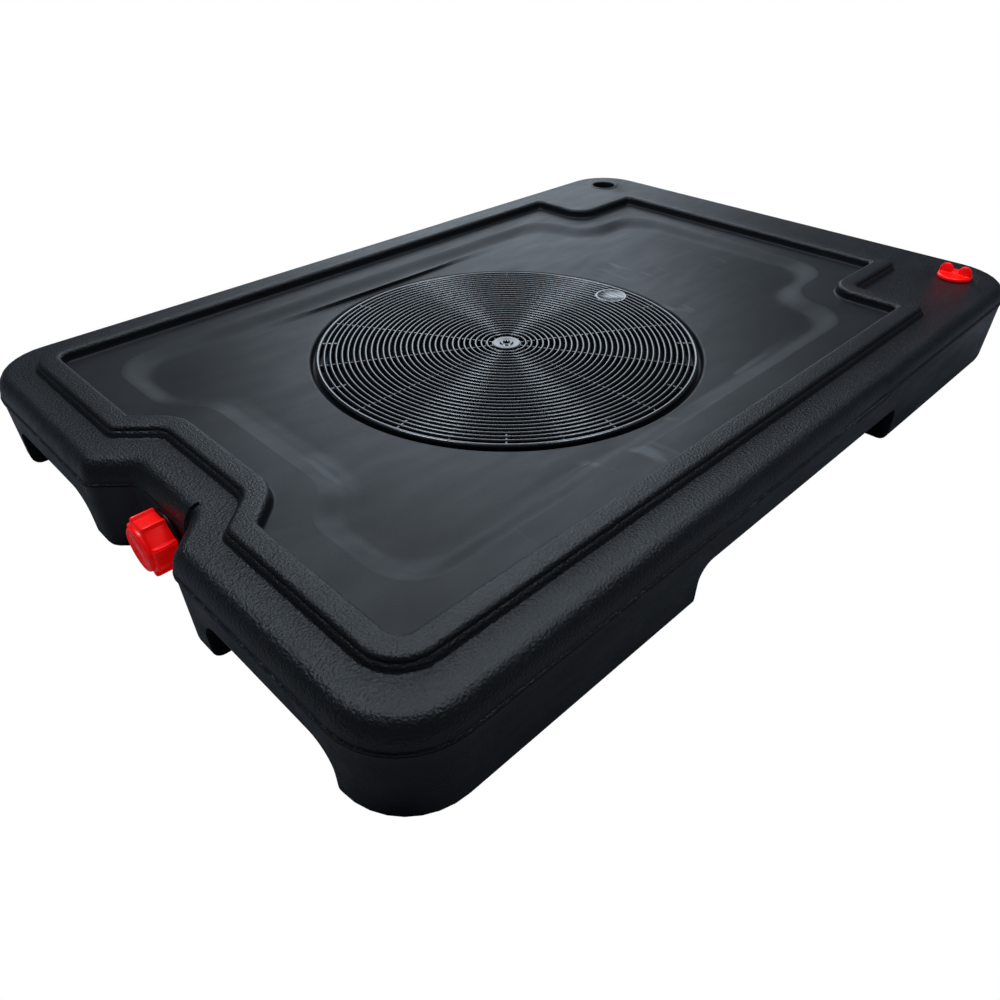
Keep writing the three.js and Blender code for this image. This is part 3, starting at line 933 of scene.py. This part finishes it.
combine(lower, belly_hollow(), "DIFFERENCE")
combine(lower, foot_hollows(), "DIFFERENCE")
combine(lower, pocket_cones(3 * MM, 48 * MM, 81.5 * MM), "UNION")
combine(lower, pocket_cones(0, 40 * MM, 78 * MM), "DIFFERENCE")
print(count_of(lower))

# %% [markdown]
# A round hole through the notch's wall lets the neck in, and the lower shell is done.

# %% Spout hole and finish
SPOUT_Z = 48.5 * MM
NECK_RADIUS = 19 * MM


def spout_hole():
    bpy.ops.object.select_all(action="DESELECT")
    bpy.ops.mesh.primitive_cylinder_add(
        vertices=48, radius=NECK_RADIUS + 0.3 * MM, depth=20 * MM,
        location=(0, NOTCH_BACK_Y, SPOUT_Z), rotation=(math.pi / 2, 0, 0))
    return place_piece(bpy.context.object, (0, NOTCH_BACK_Y, SPOUT_Z), (math.pi / 2, 0, 0))


combine(lower, spout_hole(), "DIFFERENCE")
finish_piece(lower, wall_plastic, "pan", ["lower_shell"], smooth_angle=32)

# %% [markdown]
# ## The strainer
# Twenty-nine fine rings, a wider outer ring and twelve ribs make one flat grille. All the ring
# sections are drawn side by side first, and a single spin turns them into rings. The tops are
# rounded, because it is those little crests that catch the light in a cross of bright fans.

# %% Ring sections
GRILLE_TOP_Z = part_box("strainer_grille")[1].z
GRILLE_FOOT_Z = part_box("strainer_grille")[0].z
RING_PITCH = 6.33 * MM
RING_FIRST = 21.5 * MM
RING_COUNT = 29
RING_HALF = 1.5 * MM
OUTER_RING = 5 * MM
GRILLE_RADIUS = 208.5 * MM


def ring_section(inner, outer, foot, top):
    """A narrow upright section with a round crest, listed anticlockwise."""
    middle, half = (inner + outer) / 2, (outer - inner) / 2
    crest = [math.pi * k / 5 for k in range(0, 6)]
    arc = [(middle + half * math.cos(t), top - half * 0.8 * (1 - math.sin(t))) for t in crest]
    return [(inner + 0.2 * MM, foot), (outer - 0.2 * MM, foot), *arc]


def grille_sections():
    sections = []
    for k in range(RING_COUNT):
        middle = RING_FIRST + RING_PITCH * k
        foot = GRILLE_FOOT_Z + 2 * MM
        sections.append(ring_section(middle - RING_HALF, middle + RING_HALF, foot, GRILLE_TOP_Z))
    sections.append(ring_section(GRILLE_RADIUS - OUTER_RING, GRILLE_RADIUS, GRILLE_FOOT_Z, GRILLE_TOP_Z))
    return sections


grille = start_mesh("strainer")
for section in grille_sections():
    draw_loop([Vector((radius, 0, z)) for radius, z in section])
bpy.ops.mesh.select_all(action="SELECT")
bpy.ops.mesh.spin(steps=144, angle=2 * math.pi, center=(0, 0, 0), axis=(0, 0, 1))
close_shape()
print(count_of(grille))

# %% [markdown]
# The hub is a small turned disc with a raised eyelet round a finger hole, and a flat round pad
# sits near the rear edge. The ribs run underneath the crests, with short tabs that tie the
# outermost rings together half-way between them.

# %% Hub, pad, ribs and tabs
RIB_COUNT = 12
RIB_FOOT = GRILLE_FOOT_Z + MM
RIB_TOP = GRILLE_TOP_Z - 1.6 * MM
TAB_TOP = GRILLE_TOP_Z - 1.1 * MM
BAR_END = 205 * MM


def bar(inner, outer, width, foot, top, angle):
    """A radial bar with its upper long edges rounded."""
    made = block(inner, outer, -width / 2, width / 2, foot, top)
    round_edges(made, lambda m, d: m.z > top - 0.1 * MM and abs(d.x) > 0.9, width * 0.3, 2)
    return place_piece(made, turn=(0, 0, angle))


def bars():
    made = []
    for k in range(RIB_COUNT):
        angle = 2 * math.pi * k / RIB_COUNT
        made.append(bar(12 * MM, BAR_END, 2 * MM, RIB_FOOT, RIB_TOP, angle))
        made.append(bar(185 * MM, BAR_END, 3 * MM, RIB_FOOT, TAB_TOP, angle + math.pi / RIB_COUNT))
    return made


def hub():
    profile = [
        (3.2, -7), (16, -7), (16, -1.4), (15.4, -0.6), (14.4, -0.2), (11, -0.2), (9, -0.9),
        (8, -0.9), (7.2, -0.2), (6.4, 0.3), (5, 0.4), (4, 0.2), (3.3, -0.4),
    ]
    return turned_mm("hub", profile, GRILLE_TOP_Z, 48)


def pad():
    profile = [(0, -6), (19.4, -6), (20, -1), (19.6, -0.3), (18.8, 0), (16.6, 0), (16, -0.35), (0, -0.35)]
    made = turned_mm("pad", profile, GRILLE_TOP_Z + 0.1 * MM, 48, on_axis=True)
    return place_piece(made, (0, 182 * MM, 0))


grille = joined([grille, hub(), pad(), *bars()])
place_piece(grille, (0, WELL_Y, 0))
finish_piece(grille, strainer_plastic, "strainer", ["strainer_grille"], smooth_angle=50)

# %% [markdown]
# ## The drain spout
# The neck is a turned tube with a flange against the tank wall and a real screw thread, which
# shows as soon as the cap is backed off. The thread is a small wedge section carried round and
# along the neck by the Screw modifier.

# %% Neck
NECK_WALL_Y = -NOTCH_BACK_Y
MOUTH = -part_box("spout_neck")[0].y
BORE_RADIUS = 15 * MM
FLANGE_RADIUS = 24 * MM
THREAD_CORE = 18.6 * MM
THREAD_PITCH = 4 * MM
FACE_FORWARD = (math.pi / 2, 0, 0)


def neck_tube():
    wall = NECK_WALL_Y + 0.3 * MM
    profile = [
        (BORE_RADIUS, wall - 12 * MM), (NECK_RADIUS, wall - 12 * MM), (NECK_RADIUS, wall),
        (FLANGE_RADIUS, wall), (FLANGE_RADIUS, wall + 2.2 * MM), (23.2 * MM, wall + 3 * MM),
        (NECK_RADIUS, wall + 3 * MM), (THREAD_CORE, wall + 4 * MM), (THREAD_CORE, MOUTH - 0.8 * MM),
        (18 * MM, MOUTH), (15.6 * MM, MOUTH), (BORE_RADIUS, MOUTH - 0.7 * MM),
    ]
    return turned("threaded_neck", profile, 72)


def thread(radius, pitch, turns, start, height=0.9 * MM):
    """A screw thread round the Z axis: a wedge section swept along a helix."""
    obj = start_mesh("thread")
    wedge = [(-0.2 * MM, -1.2 * MM), (height, -0.4 * MM), (height, 0.4 * MM), (-0.2 * MM, 1.2 * MM)]
    draw_loop([Vector((radius + out, 0, start + along)) for out, along in wedge])
    bpy.ops.object.mode_set(mode="OBJECT")
    apply_modifier(obj, "SCREW", axis="Z", screw_offset=pitch, iterations=turns, steps=48, render_steps=48)
    bpy.ops.object.mode_set(mode="EDIT")
    bpy.ops.mesh.select_all(action="SELECT")
    bpy.ops.mesh.fill_holes(sides=4)
    close_shape()
    return obj


neck = joined([neck_tube(), thread(THREAD_CORE, THREAD_PITCH, 3, MOUTH - 15 * MM)])
place_piece(neck, (0, 0, SPOUT_Z), FACE_FORWARD)
finish_piece(neck, fitting_plastic, "pan", ["spout_neck"])

# %% [markdown]
# The cap has eight flat panels with a slim rib at each corner. We draw that outline once, as flat
# runs with a small bump between them, and loft it from the open end to the front. There the loops
# turn into circles of as many points, which draw the round face with its rings.

# %% Cap
cap_low, cap_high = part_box("spout_cap")
CAP_FACE = -cap_low.y
CAP_OPEN = -cap_high.y
CAP_RIBS = 8
CAP_TURN = 22.5
BUMP_HALF = [(1.2, 28), (2.8, 27.4), (3.8, 26), (5.2, 24.6)]
CAP_BUMP = [(-degrees, reach) for degrees, reach in BUMP_HALF[::-1]] + BUMP_HALF
CAP_FLAT = [(14, 23.8), (22.5, 23.5), (31, 23.8)]


def cap_outline(z, shrink=0.0, radius=None):
    """One loop of the cap: the ribbed outline drawn in by shrink, or a circle of the same points."""
    loop = []
    for k in range(CAP_RIBS):
        for degrees, reach in CAP_BUMP + CAP_FLAT:
            angle = math.radians(CAP_TURN + 360 * k / CAP_RIBS + degrees)
            out = (radius or reach - shrink) * MM
            loop.append(Vector((out * math.cos(angle), out * math.sin(angle), z)))
    return loop


def cap_body():
    back = [(1, 0), (0.3, 0.3), (0, 1)]
    edge = [(0, -6.6), (0.2, -5.5), (0.8, -4.6), (1.4, -4.2), (2.3, -4)]
    face = [
        (21, -3.8), (20.9, -2.2), (20.5, -0.8), (19.8, -0.1), (18.8, 0), (18, -0.3), (17.6, -1),
        (13.6, -1), (13.2, -0.4), (12.6, -0.4), (12.2, -1), (9.4, -1), (9, -0.5), (8.5, -0.5), (8.1, -1),
    ]
    rings = [cap_outline(CAP_OPEN + rise * MM, shrink) for shrink, rise in back]
    rings += [cap_outline(CAP_FACE + rise * MM, shrink) for shrink, rise in edge]
    rings += [cap_outline(CAP_FACE + rise * MM, radius=out) for out, rise in face]
    return lofted("ribbed_cap", rings)


def cap_bore():
    profile = [(0, -4), (20.4, -4), (20.4, 22), (19.9, 22.4), (0, 22.4)]
    return turned_mm("cap bore", profile, CAP_OPEN, 72, on_axis=True)


cap = cap_body()
combine(cap, cap_bore(), "DIFFERENCE")
place_piece(cap, (0, 0, SPOUT_Z), FACE_FORWARD)
finish_piece(cap, cap_red, "spout_cap", ["spout_cap"], smooth_angle=30)

# %% [markdown]
# Inside the cap a flat rubber ring lies against the end of the neck. The vent has one like it.

# %% Cap seal
def ring_seal(name, inner, outer, foot, top, edge=0.4 * MM):
    """A flat rubber ring with its corners taken off."""
    profile = [
        (inner, foot + edge), (inner + edge, foot), (outer - edge, foot), (outer, foot + edge),
        (outer, top - edge), (outer - edge, top), (inner + edge, top), (inner, top - edge),
    ]
    return turned(name, profile, 64)


seal_low, seal_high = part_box("spout_cap_seal")
cap_seal = ring_seal("cap_ring", 15 * MM, 20.1 * MM, -seal_high.y, -seal_low.y)
place_piece(cap_seal, (0, 0, SPOUT_Z), FACE_FORWARD)
finish_piece(cap_seal, rubber, "spout_seal", ["spout_cap_seal"])

# %% [markdown]
# ## The vent plug
# The plug has a low round flange and two rounded wings for finger and thumb. It is joined from
# simple rounded forms and remeshed, and a little smoothing then melts the joints into fillets.

# %% Plug
WING_X = 11 * MM
WING_RADII = (8.4 * MM, 3.4 * MM, 9.6 * MM)


def flange_and_stem():
    profile = [
        (0, 2.5), (9, 2.5), (9, -13), (12.2, -13), (12.6, -12.4), (12.6, 2.5), (17.4, 2.5), (17.4, 0.3),
        (19.2, 0.3), (19.9, 0.9), (20, 2.4), (19.6, 3.6), (18.6, 4.3), (17, 4.6), (0, 4.6),
    ]
    return turned_mm("winged_plug", profile, DECK_Z, 72, on_axis=True)


def wing(side):
    bpy.ops.object.select_all(action="DESELECT")
    bpy.ops.mesh.primitive_uv_sphere_add(segments=32, ring_count=20, radius=1, scale=WING_RADII)
    made = bpy.context.object
    bpy.ops.object.transform_apply(location=True, rotation=True, scale=True)
    return place_piece(made, (side * WING_X, 0, DECK_Z + 6.3 * MM))


def saddle():
    made = block(-8 * MM, 8 * MM, -2.4 * MM, 2.4 * MM, DECK_Z + 3 * MM, DECK_Z + 6.4 * MM)
    return round_edges(made, lambda m, d: m.z > DECK_Z + 6.2 * MM, 1.2 * MM, 3)


plug = flange_and_stem()
trim = block(-30 * MM, 30 * MM, -30 * MM, 30 * MM, DECK_Z - 20 * MM, DECK_Z + 3.2 * MM)
handle = wing(-1)
combine(handle, wing(1), "UNION")
combine(handle, saddle(), "UNION")
combine(handle, trim, "DIFFERENCE")
combine(plug, handle, "UNION")
apply_modifier(plug, "REMESH", mode="VOXEL", voxel_size=0.5 * MM)
apply_modifier(plug, "SMOOTH", factor=0.5, iterations=4)
place_piece(plug, (VENT.x, VENT.y, 0))
finish_piece(plug, cap_red, "vent_plug", ["vent_plug"], smooth_angle=60)

# %% [markdown]
# Under the plug there is a rubber ring, and the plug screws into a bush that is moulded into the
# deck. Both only show when the plug is wound out.

# %% Vent seal and bush
seal_low, seal_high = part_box("vent_seal")
vent_seal = ring_seal("plug_ring", 13.3 * MM, 17.1 * MM, seal_low.z, seal_high.z)
place_piece(vent_seal, (VENT.x, VENT.y, 0))
finish_piece(vent_seal, rubber, "vent_gasket", ["vent_seal"])


def bush():
    profile = [
        (14, -20), (17, -20), (17, -8.3), (21, -8.3), (21, -5.8),
        (17, -5.8), (17, -0.6), (16.4, 0), (14.6, 0), (14, -0.6),
    ]
    return turned_mm("plug_bush", profile, DECK_Z)


vent_bush = place_piece(bush(), (VENT.x, VENT.y, 0))
finish_piece(vent_bush, fitting_plastic, "pan", ["vent_bush"])

# %% [markdown]
# ## Floor and light
# A plain white floor and three soft boxes, as in a product studio. The plastic is nearly black, so
# what we see is mostly their reflection. Two small boxes high on the camera's left and right draw
# the strainer's cross of fans, and a large low one behind draws the pale bands along the rim and
# the shoulders. Floor and air are white to look at, but shed only a dim light on the pan.

# %% Floor and air
LIGHT_TINT = (0.78, 0.89, 1, 1)
AIR_STRENGTH = 0.08
FLOOR_DIM = (0.3, 0.31, 0.33, 1)


def seen_white(nodes, links, dim, output):
    """White where the camera looks at it, and the dim shader for the light it sheds on the pan."""
    glow = nodes.new("ShaderNodeEmission" if output.type == "OUTPUT_MATERIAL" else "ShaderNodeBackground")
    glow.inputs["Color"].default_value = (1, 1, 1, 1)
    glow.inputs["Strength"].default_value = 1
    path = nodes.new("ShaderNodeLightPath")
    mix = nodes.new("ShaderNodeMixShader")
    links.new(path.outputs["Is Camera Ray"], mix.inputs["Fac"])
    links.new(dim, mix.inputs[1])
    links.new(glow.outputs[0], mix.inputs[2])
    links.new(mix.outputs[0], output.inputs["Surface"])


def studio_floor():
    bpy.ops.object.select_all(action="DESELECT")
    bpy.ops.mesh.primitive_plane_add(size=60, location=(0, 0, -0.5 * MM))
    floor = bpy.context.object
    floor.name = "studio_floor"
    material, nodes, links, shader = new_material("floor white")
    shader.inputs["Base Color"].default_value = FLOOR_DIM
    shader.inputs["Roughness"].default_value = 1
    shader.inputs["Specular IOR Level"].default_value = 0
    seen_white(nodes, links, shader.outputs["BSDF"], nodes["Material Output"])
    floor.data.materials.append(material)


def studio_air():
    world = bpy.data.worlds.new("studio air")
    bpy.context.scene.world = world
    world.use_nodes = True
    nodes = world.node_tree.nodes
    dim = nodes["Background"]
    dim.inputs["Color"].default_value = LIGHT_TINT
    dim.inputs["Strength"].default_value = AIR_STRENGTH
    seen_white(nodes, world.node_tree.links, dim.outputs["Background"], nodes["World Output"])


studio_floor()
studio_air()
print("floor and air ready")

# %% Soft boxes
AIM = (0, 0, 0.1)


def around(turn, rise, distance):
    """A place at an angle round from the camera and at a height angle, both in degrees."""
    heading = CAMERA_AZIMUTH + math.radians(turn)
    flat = distance * math.cos(math.radians(rise))
    height = AIM[2] + distance * math.sin(math.radians(rise))
    return (math.sin(heading) * flat, -math.cos(heading) * flat, height)


def soft_light(name, place, size, power):
    """A square area light that faces the pan."""
    bpy.ops.object.light_add(type="AREA", location=place)
    light = bpy.context.object
    light.name = name
    light.data.size = size
    light.data.energy = power
    light.data.color = LIGHT_TINT[:3]
    light.rotation_euler = (Vector(place) - Vector(AIM)).to_track_quat("Z", "Y").to_euler()


soft_light("left_box", around(-105, 67, 2.3), 0.6, 28)
soft_light("right_box", around(100, 69, 2.3), 0.6, 23)
soft_light("back_box", around(183, 30, 2.6), 1.6, 30)
bpy.context.scene.view_settings.view_transform = "Standard"
print("studio ready")

# %% [markdown]
# Last, everything is deselected.

# %% Finish
bpy.ops.object.select_all(action="DESELECT")
